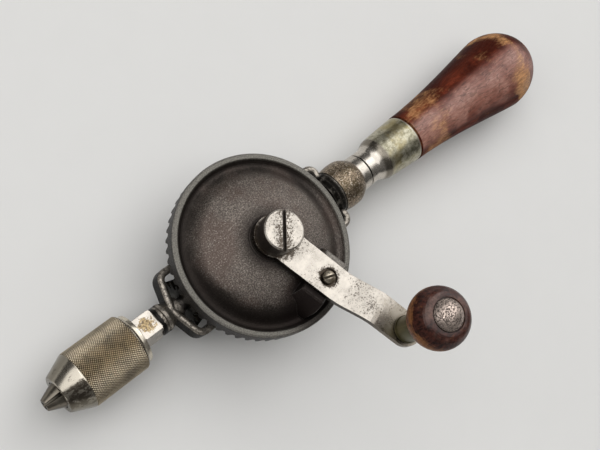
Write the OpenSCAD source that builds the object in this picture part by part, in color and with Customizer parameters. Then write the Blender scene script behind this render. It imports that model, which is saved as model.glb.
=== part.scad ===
// Eggbeater hand drill with a three-jaw chuck, bevel gears, a cranked wheel and a turned wooden handle.
// Millimetres. The origin is the mouth of the chuck, +X runs along the spindle to the handle
// and +Z runs up along the axle of the large wheel.

/* [Chuck] */
// diameter over the knurled shell
shell_d = 24.1; // [23.6:0.1:26]
// length of the shell from its nose to its rear rim
shell_len = 36.1; // [35:0.1:40]
// diameter of the flat face at the front of the nose
nose_d = 16; // [15.4:0.1:17]
// length of the jaws ahead of the nose
jaw_reach = 6.3; // [5.6:0.1:7]
// diameter across the jaws at their tips
jaw_tip_d = 5.2; // [4.8:0.1:5.6]
// half angle of the jaws' cone
jaw_cone = 24; // [23:0.5:25]
// diameter of the drill bit held at rest
bit_d = 3.2; // [2.4:0.1:3.6]
// width of one side of the square collar
square_w = 9.8; // [9.2:0.1:10.4]
// length of the square collar
square_len = 8.8; // [7:0.1:12]
// turn of the square collar about the spindle
square_turn = -19; // [-45:1:45]

/* [Wheel] */
// diameter of the large wheel over its rim
wheel_d = 75; // [73:0.5:78]
// height of the rim's top face above the spindle axis
rim_z = 18; // [17.6:0.1:19]
// height of the crank's seat on the hub above the spindle axis
seat_z = 27.7; // [27.3:0.1:29]
// diameter of the axle's journal
axle_d = 9; // [8.4:0.1:9.4]

/* [Crank] */
// turn of the crank about the axle
crank_turn = -72.4; // [-180:0.1:180]
// distance from the axle to the knob's pin
crank_len = 62.2; // [60:0.1:70]
// thickness of the crank strip
crank_t = 2.7; // [2.5:0.1:3.2]
// width of the crank strip at the hub
crank_w = 14; // [13:0.1:15]
// rise of the crank strip between hub and knob
crank_rise = 6.1; // [4:0.1:8]
// diameter of the tall slotted head on the hub
hub_screw_d = 16.1; // [15:0.1:16.8]
// height of that head
hub_screw_h = 10; // [7:0.1:12]
// largest diameter of the wooden knob
knob_d = 24.2; // [22:0.1:28]
// height of the knob and its ferrule above the strip
knob_h = 33.1; // [30:0.1:38]
// diameter of the domed head on the knob's pin
rivet_d = 12.6; // [11:0.1:13.4]

/* [Frame] */
// width of the frame loop over its two arms
loop_w = 31; // [30:0.1:34]
// height of the loop's bars
bar_h = 10; // [8:0.1:10.4]
// thickness of the loop's bars
bar_t = 3; // [2.6:0.1:3.4]
// diameter of the boss at the rear
rear_boss_d = 19.8; // [18:0.1:20.6]
// diameter of the spindle's front journal
spindle_d = 6.2; // [5.6:0.1:6.4]

/* [Handle] */
// length of the steel collar behind the frame
collar_len = 13.1; // [10:0.1:15]
// length of the bright neck ring
neck_len = 4.7; // [4:0.1:8]
// diameter of the neck ring
neck_d = 16; // [15:0.1:17]
// length of the ferrule
ferrule_len = 28.3; // [26:0.1:34]
// diameter of the ferrule at the wood
ferrule_d = 22.2; // [21.4:0.1:24]
// length of the wood behind the ferrule
wood_len = 84.3; // [76:0.1:100]
// largest diameter of the wood
wood_d = 36.8; // [34:0.1:42]

/* [Hidden] */
$fn = 72;

// Counts that the two gears and the chuck are built on.
gear_teeth = 56;
pinion_teeth = 14;
jaws = 3;

// Clearances between pieces.
run = 0.05;
seat = 0.02;
cone_gap = 0.3;
slot_gap = 0.1;

// Chuck, from the jaw tips backwards.
nose_x = jaw_reach;
shell_end = nose_x + shell_len;
knurl_x0 = nose_x + (shell_d - nose_d) / 2 / tan(24.5);
knurl_x1 = shell_end - 2.6;
rim_r = shell_d / 2 - 1.5;
tip_r = jaw_tip_d / 2;
jaw_slope = tan(jaw_cone);
core_r = shell_d / 2 - 2.1;
shell_bore_r = core_r + run;
mouth_r = tip_r + nose_x * jaw_slope + cone_gap / cos(jaw_cone);
cone_end = nose_x + (shell_bore_r - mouth_r) / jaw_slope;
jaw_open = 1.7;
jaw_max_r = shell_bore_r - jaw_open - 0.6;
carrier_x0 = nose_x + 12.9;
carrier_x1 = carrier_x0 + 2.8;
grip_len = 9;
square_x = shell_end + 0.9;
square_end = square_x + square_len;
washer_t = 2.8;
boss_x = square_end + washer_t;

// Bevel gears: both sets of teeth point to one apex where the two axes cross.
pitch_r = wheel_d / 2 - 1.1;
module_mm = 2 * pitch_r / gear_teeth;
pinion_pitch_r = module_mm * pinion_teeth / 2;
pitch_angle = atan(pinion_teeth / gear_teeth);
cone_len = sqrt(pitch_r * pitch_r + pinion_pitch_r * pinion_pitch_r);
pressure = 20;
shift = 0.2;
backlash = 0.16;
gear_add = (1 - shift) * module_mm;
gear_ded = (1 + shift + 0.2) * module_mm;
pinion_add = (1 + shift) * module_mm;
pinion_ded = (1 - shift + 0.25) * module_mm;
teeth_out_r = wheel_d / 2 - 0.2;
teeth_in_r = wheel_d / 2 - 10.2;
pinion_face = 8;
pinion_x = boss_x + 10.1;
axle_x = pinion_x + pitch_r;
pinion_end = pinion_x + pinion_face;
hub_end = pinion_end + 5.4;

// Spindle and its two bearings.
journal_r = spindle_d / 2;
tail_r = journal_r - 0.5;
bearing_x = axle_x - 19.4;
spindle_end = axle_x - 7.4;
thread_r = 4;
thread_x = carrier_x1 + 8;

// Wheel and its axle.
dome_top = rim_z + 9.2;
dome_r = 58;
hollow_r0 = wheel_d / 2 - 11.5;
hollow_r1 = wheel_d / 2 - 2.4;
rim_slope = 1.6;
web_t = 3.6;
boss_z = 8.2;
hub_z = boss_z + 1;
axle_r = axle_d / 2;
stem_r = axle_r - 0.5;
hub_r = 8.5;
stud_r = 2.5;

// Frame loop: a bar of one section that runs straight and round four corners.
arm_y = loop_w / 2 - bar_t / 2;
front_lean = atan(7 / 24);
front_bend = 3.6;
rear_bend = 3;
front_bend_x = boss_x + 11.3;
rear_x = axle_x + wheel_d / 2 + 7.8;
rear_bend_x = rear_x - rear_bend;
rear_boss_x = rear_x + bar_t / 2 + 1.4;
bar_top = bar_h / 2 - 0.2;

// Handle, from the frame backwards.
collar_end = rear_boss_x + collar_len;
neck_end = collar_end + neck_len;
ferrule_end = neck_end + ferrule_len;
handle_end = ferrule_end + wood_len;
tang_r = 4;
tang_x = rear_x - 0.8;
tang_end = ferrule_end + wood_len * 0.53;
tenon_r = ferrule_d / 2 - 1.8;
tenon_x = ferrule_end - ferrule_len * 0.51;
shoulder_r = ferrule_d / 2 + 0.15;
belly_x = ferrule_end + wood_len * 0.75;

// Crank heights.
strip_z = seat_z + crank_t;
end_z = strip_z + crank_rise;
knob_top = end_z + knob_h;
screw_at = wheel_d * 0.3533;
stud_len = hub_screw_d * 0.75;
screw_head_r = 2.75;
pin_r = 2.2;
rivet_sunk = 0.5;
collar_z = end_z + knob_h * 0.375;

// Points of a circular arc in a profile.
function arc(cx, cy, r, a0, a1, n) = [for (i = [0:n]) [cx + r * cos(a0 + (a1 - a0) * i / n),
    cy + r * sin(a0 + (a1 - a0) * i / n)]];

// A smooth step from 0 to 1.
function ease(u) = u * u * (3 - 2 * u);

// A solid turned about the spindle axis: each point is a radius and a distance along X.
module turned(p) {
    rotate([0, 90, 0])
        rotate_extrude()
            polygon(p);
}

// A solid turned about the axle: each point is a radius and a height.
module upright(p) {
    translate([axle_x, 0, 0])
        rotate_extrude()
            polygon(p);
}

// A plain round bar along X.
module rod(x0, x1, r) {
    translate([x0, 0, 0])
        rotate([0, 90, 0])
            cylinder(h = x1 - x0, r = r);
}

// Places a piece on the crank: local X runs out along the strip.
module on_crank(d) {
    translate([axle_x, 0, 0])
        rotate([0, 0, crank_turn])
            translate([d, 0, 0])
                children();
}

// Frame

// Section of the loop's bars with rounded edges, upright along the second axis.
module bar_section() {
    e = bar_t / 2 - 0.1;
    square([bar_t, bar_h - 2 * e], center = true);
    square([bar_t - 2 * e, bar_h], center = true);
    for (sx = [-1, 1])
        for (sy = [-1, 1])
            translate([sx * (bar_t / 2 - e), sy * (bar_h / 2 - e)])
                circle(r = e);
}

// A straight bar of that section, starting at a point and heading at an angle in plan.
module bar(x, y, heading, len) {
    translate([x, y, -0.2])
        rotate([0, 0, heading])
            rotate([90, 0, 90])
                linear_extrude(height = len)
                    bar_section();
}

// A bend of that section about a centre, from one angle through a turn.
module bend(x, y, r, from, turn) {
    translate([x, y, -0.2])
        rotate([0, 0, from])
            rotate_extrude(angle = turn)
                translate([r, 0])
                    bar_section();
}

module half_loop() {
    bar_y = arm_y - front_bend;
    sx = front_bend_x - front_bend * cos(front_lean);
    sy = bar_y + front_bend * sin(front_lean);
    bar(sx, sy, 270 - front_lean, sy / cos(front_lean) + 0.3);
    bend(front_bend_x, bar_y, front_bend, 90, 90 - front_lean);
    bar(front_bend_x, arm_y, 0, rear_bend_x - front_bend_x);
    bend(rear_bend_x, arm_y - rear_bend, rear_bend, 0, 90);
    bar(rear_x, 0, 90, arm_y - rear_bend);
}

module frame() {
    color("#26241f")
        difference() {
            union() {
                half_loop();
                mirror([0, 1, 0])
                    half_loop();
                turned([[0, boss_x], [5.6, boss_x], [6.05, boss_x + 0.5], [5.9, boss_x + 1.6],
                    [4.7, boss_x + 4], [4.4, boss_x + 5.4], [4.4, boss_x + 8.6], [0, boss_x + 8.6]]);
                translate([axle_x - 13, -arm_y, -4.4])
                    cube([20, 2 * arm_y, 8.8]);
                rod(bearing_x, axle_x, 6);
                translate([axle_x, 0, -boss_z])
                    cylinder(h = 2 * boss_z, r = 8);
                turned([[0, rear_x - 2.2], [rear_boss_d / 2 - 1.2, rear_x - 2.2], [rear_boss_d / 2, rear_x - 0.2],
                    [rear_boss_d / 2, rear_boss_x - 0.9], [rear_boss_d / 2 - 0.3, rear_boss_x - 0.7],
                    [rear_boss_d / 2 - 0.1, rear_boss_x - 0.4], [rear_boss_d / 2 - 0.4, rear_boss_x],
                    [0, rear_boss_x]]);
            }
            rod(boss_x - 1, boss_x + 10, journal_r + run);
            rod(bearing_x - 1, spindle_end + 0.4, tail_r + run);
            translate([axle_x, 0, -boss_z - 1])
                cylinder(h = 2 * boss_z + 2, r = axle_r + run);
            rod(tang_x - seat, rear_boss_x + 1, tang_r + seat);
        }
}

// Handle

module tang() {
    color("#8a8880")
        turned([[0, tang_x], [tang_r, tang_x], [tang_r, tang_end - 6], [1, tang_end], [0, tang_end]]);
}

module rear_collar() {
    color("#6e6558")
        difference() {
            turned(concat([[0, rear_boss_x], [rear_boss_d / 2 + 0.1, rear_boss_x]],
                [for (i = [0:12]) let (u = i / 12) [rear_boss_d / 2 + 0.1 + 0.6 * sin(180 * min(1, u * 1.2))
                    - 1.9 * pow(max(0, (u - 0.62) / 0.38), 2), rear_boss_x + 0.6 + u * (collar_len - 0.6)]],
                [[0, collar_end]]));
            rod(rear_boss_x - 1, collar_end + 1, tang_r + seat);
        }
}

module neck_ring() {
    color("#b9b7ab")
        difference() {
            turned([[0, collar_end], [neck_d / 2, collar_end], [neck_d / 2, neck_end - 0.5],
                [neck_d / 2 - 0.5, neck_end], [0, neck_end]]);
            rod(collar_end - 1, neck_end + 1, tang_r + seat);
        }
}

module ferrule() {
    flare0 = neck_end + 4.6;
    flare1 = neck_end + 11;
    front_r = ferrule_d / 2 - 1.05;
    color("#a8a68c")
        difference() {
            turned(concat([[0, neck_end], [neck_d / 2 - 0.6, neck_end], [neck_d / 2 - 0.1, neck_end + 0.5]],
                [for (i = [0:10]) [neck_d / 2 - 0.15 + (front_r - neck_d / 2 + 0.15) * ease(i / 10),
                    flare0 + (flare1 - flare0) * i / 10]],
                [[ferrule_d / 2, ferrule_end - 0.8], [ferrule_d / 2 - 0.1, ferrule_end - 0.3],
                    [ferrule_d / 2 - 0.4, ferrule_end], [0, ferrule_end]]));
            rod(neck_end - 1, ferrule_end + 1, tang_r + seat);
            rod(tenon_x, ferrule_end + 1, tenon_r + seat);
        }
}

module handle() {
    body_n = 26;
    end_n = 18;
    end_len = handle_end - belly_x;
    color("#6d2f1d")
        difference() {
            turned(concat([[0, tenon_x + 0.2], [tenon_r, tenon_x + 0.2], [tenon_r, ferrule_end],
                [shoulder_r - 0.9, ferrule_end], [shoulder_r - 0.85, ferrule_end + 0.4]],
                [for (i = [0:body_n]) let (u = i / body_n) [shoulder_r + (wood_d / 2 - shoulder_r)
                    * (1 - pow(1 - pow(u, 1.6), 1.15)), ferrule_end + 0.8 + u * (belly_x - ferrule_end - 0.8)]],
                [for (i = [1:end_n]) [wood_d / 2 * cos(90 * i / end_n), belly_x + end_len * sin(90 * i / end_n)]]));
            rod(tenon_x, tang_end - 6, tang_r + seat);
            turned([[0, tang_end - 6.5], [tang_r + seat, tang_end - 6.5], [tang_r + seat, tang_end - 6],
                [1, tang_end + seat], [0, tang_end + seat]]);
        }
}

// Spindle and pinion

module spindle() {
    color("#8f8c86")
        difference() {
            turned([[0, thread_x], [thread_r - 0.6, thread_x], [thread_r, thread_x + 0.6],
                [thread_r, square_end - 0.6], [journal_r, square_end - 0.6], [journal_r, hub_end + 0.6],
                [tail_r, hub_end + 0.6], [tail_r, spindle_end - 0.4], [tail_r - 0.4, spindle_end],
                [0, spindle_end]]);
            pin_hole(1 + seat);
        }
}

// Cross hole through the pinion's hub and the spindle.
module pin_hole(r) {
    translate([pinion_end + 2.9, 0, 0])
        rotate([90, 0, 0])
            cylinder(h = 30, r = r, center = true);
}

// Half angle of a pinion tooth on its back cone at a given radius there.
back_r = pinion_pitch_r / cos(pitch_angle);
base_r = back_r * cos(pressure);
function inv(a) = tan(a) * 180 / PI - a;
function flank_angle(r) = let (a = acos(min(1, base_r / max(r, base_r))))
    ((PI / 2 + 2 * shift * tan(pressure)) * module_mm - backlash / 2) / (2 * back_r) * 180 / PI
    + inv(pressure) - inv(a);

// That point seen from the apex, on the flat front face of the pinion.
function face_point(r, a) = let (k = r * cos(pitch_angle) * pitch_r
    / (cone_len / cos(pitch_angle) - r * sin(pitch_angle)), t = a / cos(pitch_angle)) [k * sin(t), k * cos(t)];
flank_n = 6;
root_r = back_r - pinion_ded;
top_r = back_r + pinion_add;
function half_tooth(s) = [for (i = [0:flank_n]) let (u = s > 0 ? 1 - i / flank_n : i / flank_n,
    r = root_r + (top_r - root_r) * u) face_point(r, s * flank_angle(r))];
function spin(p, a) = [for (q = p) [q[0] * cos(a) + q[1] * sin(a), q[1] * cos(a) - q[0] * sin(a)]];
tooth_step = 360 / pinion_teeth;
pinion_outline = [for (i = [0:pinion_teeth - 1]) each
    spin(concat(half_tooth(-1), half_tooth(1)), (i + 0.5) * tooth_step)];

module pinion() {
    color("#4a4742")
        difference() {
            union() {
                translate([pinion_x, 0, 0])
                    rotate([90, 0, 90])
                        linear_extrude(height = pinion_face, scale = (pitch_r - pinion_face) / pitch_r)
                            polygon(pinion_outline);
                rod(pinion_end - 0.5, hub_end, 5.6);
            }
            rod(pinion_x - 1, hub_end + 1, journal_r + seat);
            pin_hole(1 + seat);
        }
}

module pinion_pin() {
    color("#9b9890")
        translate([pinion_end + 2.9, 0, 0])
            rotate([90, 0, 0])
                cylinder(h = 11.6, r = 1, center = true);
}

module thrust_washer() {
    color("#1d1c1a")
        difference() {
            turned([[0, square_end], [5.7, square_end], [5.95, square_end + 0.3], [5.95, boss_x - 0.3],
                [5.7, boss_x], [0, boss_x]]);
            rod(square_end - 1, boss_x + 1, journal_r + seat);
        }
}

// Chuck

module chuck_body() {
    color("#c8c4b8")
        difference() {
            union() {
                turned([[0, carrier_x1], [core_r - 0.5, carrier_x1], [core_r, carrier_x1 + 0.5],
                    [core_r, shell_end - 1.2], [core_r - 0.6, shell_end - 0.6], [5.2, shell_end - 0.6],
                    [5.2, square_x + 0.5], [0, square_x + 0.5]]);
                intersection() {
                    translate([square_x, 0, 0])
                        rotate([square_turn, 0, 0])
                            translate([0, -square_w / 2, -square_w / 2])
                                cube([square_len, square_w, square_w]);
                    turned([[0, square_x], [square_w * 0.64, square_x], [square_w * 0.695, square_x + 0.5],
                        [square_w * 0.695, square_end - 0.5], [square_w * 0.64, square_end], [0, square_end]]);
                }
            }
            rod(carrier_x1 - 1, thread_x, 3.4);
            rod(thread_x - 0.1, square_end - 0.6 + seat, thread_r + seat);
            rod(square_end - 1, square_end + 1, journal_r + seat);
        }
}

module chuck_shell() {
    color("#9c8c6c")
        turned([[mouth_r, nose_x], [nose_d / 2 - 0.2, nose_x], [nose_d / 2, nose_x + 0.2],
            [shell_d / 2 - 0.3, knurl_x0 - 0.3], [shell_d / 2, knurl_x0 + 0.3], [shell_d / 2, knurl_x1 - 0.4],
            [shell_d / 2 - 0.5, knurl_x1], [rim_r, shell_end - 1.6], [rim_r, shell_end - 0.4],
            [rim_r - 0.3, shell_end], [shell_bore_r, shell_end], [shell_bore_r, cone_end]]);
}

module jaw_carrier() {
    color("#77746c")
        difference() {
            rod(carrier_x0, carrier_x1, core_r - 0.35);
            rod(carrier_x0 - 1, carrier_x1 + 1, 3.4);
            for (k = [0:jaws - 1])
                rotate([60 + 120 * k, 0, 0])
                    translate([carrier_x0 - 1, -1.5 - slot_gap, 0])
                        cube([2.9, 3 + 2 * slot_gap, 20]);
        }
}

// One jaw, standing above the axis before it is turned into place.
module jaw_blank() {
    difference() {
        union() {
            turned([[0, 0], [tip_r - 0.2, 0], [tip_r, 0.2 * jaw_slope + 0.1],
                [jaw_max_r, (jaw_max_r - tip_r) / jaw_slope], [jaw_max_r, carrier_x0], [0, carrier_x0]]);
        }
        for (s = [-1, 1])
            mirror([0, s > 0 ? 1 : 0, 0])
                rotate([60, 0, 0])
                    translate([0, 0.45, 0])
                        rotate([0, 0, 3.4])
                            translate([-5, -30, -30])
                                cube([60, 30, 60]);
        rod(-1, carrier_x0 + 1, bit_d / 2);
        rod(grip_len, carrier_x0 + 1, 3.4);
    }
    translate([carrier_x0 - 0.5, -1.5, 4.2])
        cube([2.2, 3, jaw_max_r - 4.6]);
}

module jaw(k) {
    color("#8d8a7c")
        rotate([60 + 120 * k, 0, 0])
            jaw_blank();
}

module jaw_1() {
    jaw(0);
}

module jaw_2() {
    jaw(1);
}

module jaw_3() {
    jaw(2);
}

// One coil between two neighbouring jaws: an unbroken tube along Y.
spring_r = 1;
wire_r = 0.17;
spring_len = 1.7;
spring_turns = 3;
spring_rings = spring_turns * 8;
spring_x = carrier_x0 - 3.4;
spring_out = 5.6;
function coil_point(i, j) = let (a = 360 * spring_turns * i / spring_rings, w = 60 * j,
    r = spring_r + wire_r * cos(w)) [spring_x + r * cos(a),
    spring_len * (i / spring_rings - 0.5) + wire_r * sin(w), spring_out + r * sin(a)];
coil_points = [for (i = [0:spring_rings]) for (j = [0:5]) coil_point(i, j)];
coil_faces = concat([[5, 4, 3, 2, 1, 0]],
    [for (i = [0:spring_rings - 1]) for (j = [0:5]) [i * 6 + j, i * 6 + (j + 1) % 6, i * 6 + 6 + (j + 1) % 6]],
    [for (i = [0:spring_rings - 1]) for (j = [0:5]) [i * 6 + j, i * 6 + 6 + (j + 1) % 6, i * 6 + 6 + j]],
    [[for (j = [0:5]) spring_rings * 6 + j]]);

module jaw_springs() {
    color("#b0ada4")
        for (k = [0:jaws - 1])
            rotate([120 * k, 0, 0])
                polyhedron(points = coil_points, faces = coil_faces);
}

// Wheel

// Height of the dome's upper face at a radius.
function dome_z(r) = dome_top - dome_r + sqrt(dome_r * dome_r - r * r);
dome_slope = -hollow_r0 / sqrt(dome_r * dome_r - hollow_r0 * hollow_r0);

// Height of the smooth hollow that leads from the dome up to the rim.
function hollow_z(r) = let (h = hollow_r1 - hollow_r0, t = (r - hollow_r0) / h)
    dome_z(hollow_r0) * (1 - ease(t)) + (rim_z - 0.15) * ease(t)
    + h * t * (1 - t) * (dome_slope * (1 - t) - rim_slope * t);
function dish_z(r) = r < hollow_r0 ? dome_z(r) : hollow_z(r);

// A point on a cone through the apex: distance along the pitch cone and offset across it.
function cone_point(r, off) = let (b = off / cone_len,
    k = r / (cos(pitch_angle) - b * sin(pitch_angle))) [r, k * (sin(pitch_angle) + b * cos(pitch_angle))];

// The space between two teeth: three flat faces that all pass through the apex.
half_space = (PI / 4 + shift * tan(pressure)) * module_mm + backlash / 4;
module tooth_space() {
    swing = atan(half_space / cone_len);
    root_angle = pitch_angle + atan(gear_ded / cone_len);
    intersection() {
        rotate([0, -pitch_angle, 0])
            rotate([0, 0, swing])
                rotate([pressure, 0, 0])
                    translate([20, -8, -6])
                        cube([24, 8, 12]);
        rotate([0, -pitch_angle, 0])
            rotate([0, 0, -swing])
                rotate([-pressure, 0, 0])
                    translate([20, 0, -6])
                        cube([24, 8, 12]);
        rotate([0, -root_angle, 0])
            translate([20, -8, -6])
                cube([24, 16, 6]);
    }
}

module wheel_blank() {
    dome_n = 16;
    hollow_n = 12;
    upright(concat(
        [[stem_r + seat, hub_z], [hub_r, hub_z], [hub_r, dome_z(hub_r) - web_t]],
        [for (i = [1:dome_n]) let (r = hub_r + (teeth_in_r - hub_r) * i / dome_n) [r, dome_z(r) - web_t]],
        [cone_point(teeth_in_r, -gear_add), cone_point(teeth_out_r, -gear_add)],
        [[teeth_out_r, rim_z - 5.4], [wheel_d / 2, rim_z - 5.2], [wheel_d / 2, rim_z - 1]],
        arc(wheel_d / 2 - 1, rim_z - 1, 1, 15, 90, 5),
        [[wheel_d / 2 - 2.2, rim_z]],
        [for (i = [0:hollow_n - 1]) let (r = hollow_r1 + (hollow_r0 - hollow_r1) * i / hollow_n) [r, hollow_z(r)]],
        [for (i = [0:dome_n]) let (r = hollow_r0 - (hollow_r0 - 9.6) * i / dome_n) [r, dome_z(r)]],
        [[9.2, dome_z(9.6) - 0.1], [8.8, dome_z(9.6) + 0.1], [8.6, seat_z], [stem_r + seat, seat_z]]));
}

// Raised pad under the crank strip, with sloping sides that run out into the dish.
module crank_pad() {
    foot_z = seat_z - 11;
    pad_r1 = hollow_r1 - 1.6;
    intersection() {
        on_crank(0)
            rotate([90, 0, 90])
                linear_extrude(height = 40)
                    polygon([[-15, foot_z], [13.4, foot_z], [10.4, seat_z - 0.5], [9.8, seat_z],
                        [-8.6, seat_z], [-9.4, seat_z - 0.5]]);
        on_crank(screw_at)
            rotate([90, 0, 0])
                translate([0, 0, -20])
                    linear_extrude(height = 40)
                        polygon([[-8.2, foot_z], [5.6, foot_z], [4.5, seat_z - 0.6], [3.9, seat_z],
                            [-5.4, seat_z], [-6, seat_z - 0.6]]);
        upright(concat([[12, 40]], [for (i = [0:14]) let (r = 12 + (pad_r1 - 12) * i / 14) [r, dish_z(r) - 1]],
            [[pad_r1, 40]]));
    }
}

module main_gear() {
    color("#4c4642")
        difference() {
            union() {
                wheel_blank();
                crank_pad();
            }
            translate([axle_x, 0, 0])
                for (i = [0:gear_teeth - 1])
                    rotate([0, 0, 180 + (i + 0.5) * 360 / gear_teeth])
                        tooth_space();
            on_crank(screw_at)
                translate([0, 0, seat_z - 5])
                    cylinder(h = 10, r = 1.5 + seat);
        }
}

module main_axle() {
    color("#96938c")
        difference() {
            upright([[0, -boss_z - 5.6], [2.6, -boss_z - 5.6], [3, -boss_z - 5.2], [3, -boss_z - 1],
                [axle_r, -boss_z], [axle_r, hub_z], [stem_r, hub_z], [stem_r, seat_z - 1], [0, seat_z - 1]]);
            translate([axle_x, 0, seat_z - stud_len])
                cylinder(h = stud_len + 1, r = stud_r);
        }
}

module gear_washer() {
    color("#8d8a82")
        upright([[axle_r + seat, boss_z], [7.6, boss_z], [7.6, hub_z], [axle_r + seat, hub_z]]);
}

module axle_washer() {
    color("#8d8a82")
        upright([[3 + seat, -boss_z - 1], [3 + seat, -boss_z - 1.9], [7.2, -boss_z - 1.9], [7.2, -boss_z],
            [axle_r + 0.3, -boss_z], [axle_r + 0.3, -boss_z - 1]]);
}

module axle_nut() {
    color("#7f7c74")
        translate([axle_x, 0, -boss_z - 5])
            difference() {
                cylinder(h = 3.1, r = 5.6, $fn = 6);
                translate([0, 0, -1])
                    cylinder(h = 6, r = 3 + seat);
            }
}

// Crank

module hub_screw() {
    color("#cfc7bb")
        difference() {
            union() {
                upright([[0, strip_z], [hub_screw_d / 2, strip_z], [hub_screw_d / 2, strip_z + hub_screw_h - 0.5],
                    [hub_screw_d / 2 - 0.5, strip_z + hub_screw_h], [0, strip_z + hub_screw_h]]);
                translate([axle_x, 0, strip_z - stud_len])
                    cylinder(h = stud_len + 1, r = stud_r - seat);
            }
            translate([axle_x, 0, strip_z + hub_screw_h])
                rotate([0, 0, 52])
                    cube([2 * hub_screw_d, 1.5, hub_screw_h * 0.44], center = true);
        }
}

// Side view of the strip: flat at the hub, a gentle step up, and flat again under the knob.
bend_d = screw_at + 4.5;
bend_len = 19;
function strip_top(d) = strip_z + crank_rise * ease(min(1, max(0, (d - bend_d) / bend_len)));
strip_d = [-10, each [for (i = [0:10]) bend_d + bend_len * i / 10], 80];

module crank_arm() {
    end_r = crank_w / 2 - 0.4;
    color("#d6cec2")
        difference() {
            intersection() {
                on_crank(0)
                    rotate([90, 0, 0])
                        translate([0, 0, -20])
                            linear_extrude(height = 40)
                                polygon(concat([for (d = strip_d) [d, strip_top(d)]],
                                    [for (i = [0:12]) let (d = strip_d[12 - i]) [d, strip_top(d) - crank_t]]));
                on_crank(0)
                    translate([0, 0, seat_z - 5])
                        linear_extrude(height = 30) {
                            circle(r = 8.6);
                            polygon([[0, -crank_w / 2], [crank_len, -end_r], [crank_len, end_r], [0, crank_w / 2]]);
                            translate([crank_len, 0])
                                circle(r = end_r);
                        }
            }
            on_crank(0)
                cylinder(h = 80, r = stud_r);
            on_crank(screw_at)
                cylinder(h = 80, r = 1.5 + seat);
            on_crank(screw_at)
                translate([0, 0, strip_z - 1])
                    cylinder(h = 5, r = screw_head_r + 1);
            on_crank(crank_len)
                cylinder(h = 80, r = pin_r + seat);
        }
}

module crank_screw() {
    color("#9a927f")
        on_crank(screw_at)
            difference() {
                union() {
                    translate([0, 0, seat_z - 4.5])
                        cylinder(h = crank_t + 4, r = 1.5);
                    translate([0, 0, strip_z - 1])
                        rotate_extrude()
                            polygon(concat([[0, 0]], arc(0, 0.7, screw_head_r, 0, 90, 8)));
                }
                translate([0, 0, strip_z + 2])
                    rotate([0, 0, 52.6])
                        cube([20, 0.9, 2.6], center = true);
            }
}

module knob_rivet() {
    head_r = rivet_d / 2;
    dome_h = 3.5;
    foot_z = knob_top - rivet_sunk;
    ball_r = (head_r * head_r + dome_h * dome_h) / (2 * dome_h);
    edge = asin(head_r / ball_r);
    color("#b3a99c")
        on_crank(crank_len)
            union() {
                rotate_extrude()
                    polygon(concat([[0, foot_z], [head_r, foot_z]],
                        arc(0, foot_z + 0.3 + dome_h - ball_r, ball_r, 90 - edge, 90, 10)));
                translate([0, 0, end_z - crank_t - 0.5])
                    cylinder(h = knob_h + crank_t, r = pin_r);
                translate([0, 0, end_z - crank_t - 0.9])
                    cylinder(h = 0.9, r = 3.6);
            }
}

module crank_knob() {
    belly_z = end_z + knob_h * 0.76;
    foot_z = collar_z;
    color("#552217")
        on_crank(crank_len)
            difference() {
                rotate_extrude()
                    polygon(concat([[0, end_z + 0.4], [4.4, end_z + 0.4], [4.4, foot_z], [5.4, foot_z]],
                        [for (i = [0:12]) let (u = i / 12) [5.7 + (knob_d / 2 - 5.7) * (1 - pow(1 - u, 1.7)),
                            foot_z + 0.3 + (belly_z - foot_z - 0.3) * u]],
                        [for (i = [1:10]) let (u = i / 10) [rivet_d / 2 + 0.9 + (knob_d / 2 - rivet_d / 2 - 0.9)
                            * cos(90 * u), belly_z + (knob_top - 0.1 - belly_z) * sin(90 * u)]],
                        [[0, knob_top - 0.1]]));
                cylinder(h = 200, r = pin_r + 0.08);
                translate([0, 0, knob_top - rivet_sunk - 0.1])
                    cylinder(h = 10, r = rivet_d / 2 + 0.35);
            }
}

module knob_ferrule() {
    color("#8a8358")
        on_crank(crank_len)
            rotate_extrude()
                polygon([[4.4 + seat, end_z + 0.1], [5.3, end_z + 0.1], [5.5, end_z + 0.3], [5.5, end_z + 1.4],
                    [5.25, end_z + 1.7], [5.25, collar_z - 0.4], [5.05, collar_z], [4.4 + seat, collar_z]]);
}

frame();
tang();
rear_collar();
neck_ring();
ferrule();
handle();
spindle();
pinion();
pinion_pin();
thrust_washer();
chuck_body();
chuck_shell();
jaw_carrier();
jaw_springs();
jaw_1();
jaw_2();
jaw_3();
main_gear();
main_axle();
gear_washer();
axle_washer();
axle_nut();
hub_screw();
crank_arm();
crank_screw();
knob_rivet();
crank_knob();
knob_ferrule();
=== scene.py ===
"""Looks of an eggbeater hand drill: finishes for its CAD pieces, a knurled chuck shell and a stage."""

import math

import bpy
from bpy.props import FloatProperty, FloatVectorProperty, IntProperty, PointerProperty
from bpy.types import NodeSocket, Operator, Panel, PropertyGroup
from mathutils import Matrix, Vector


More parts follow.
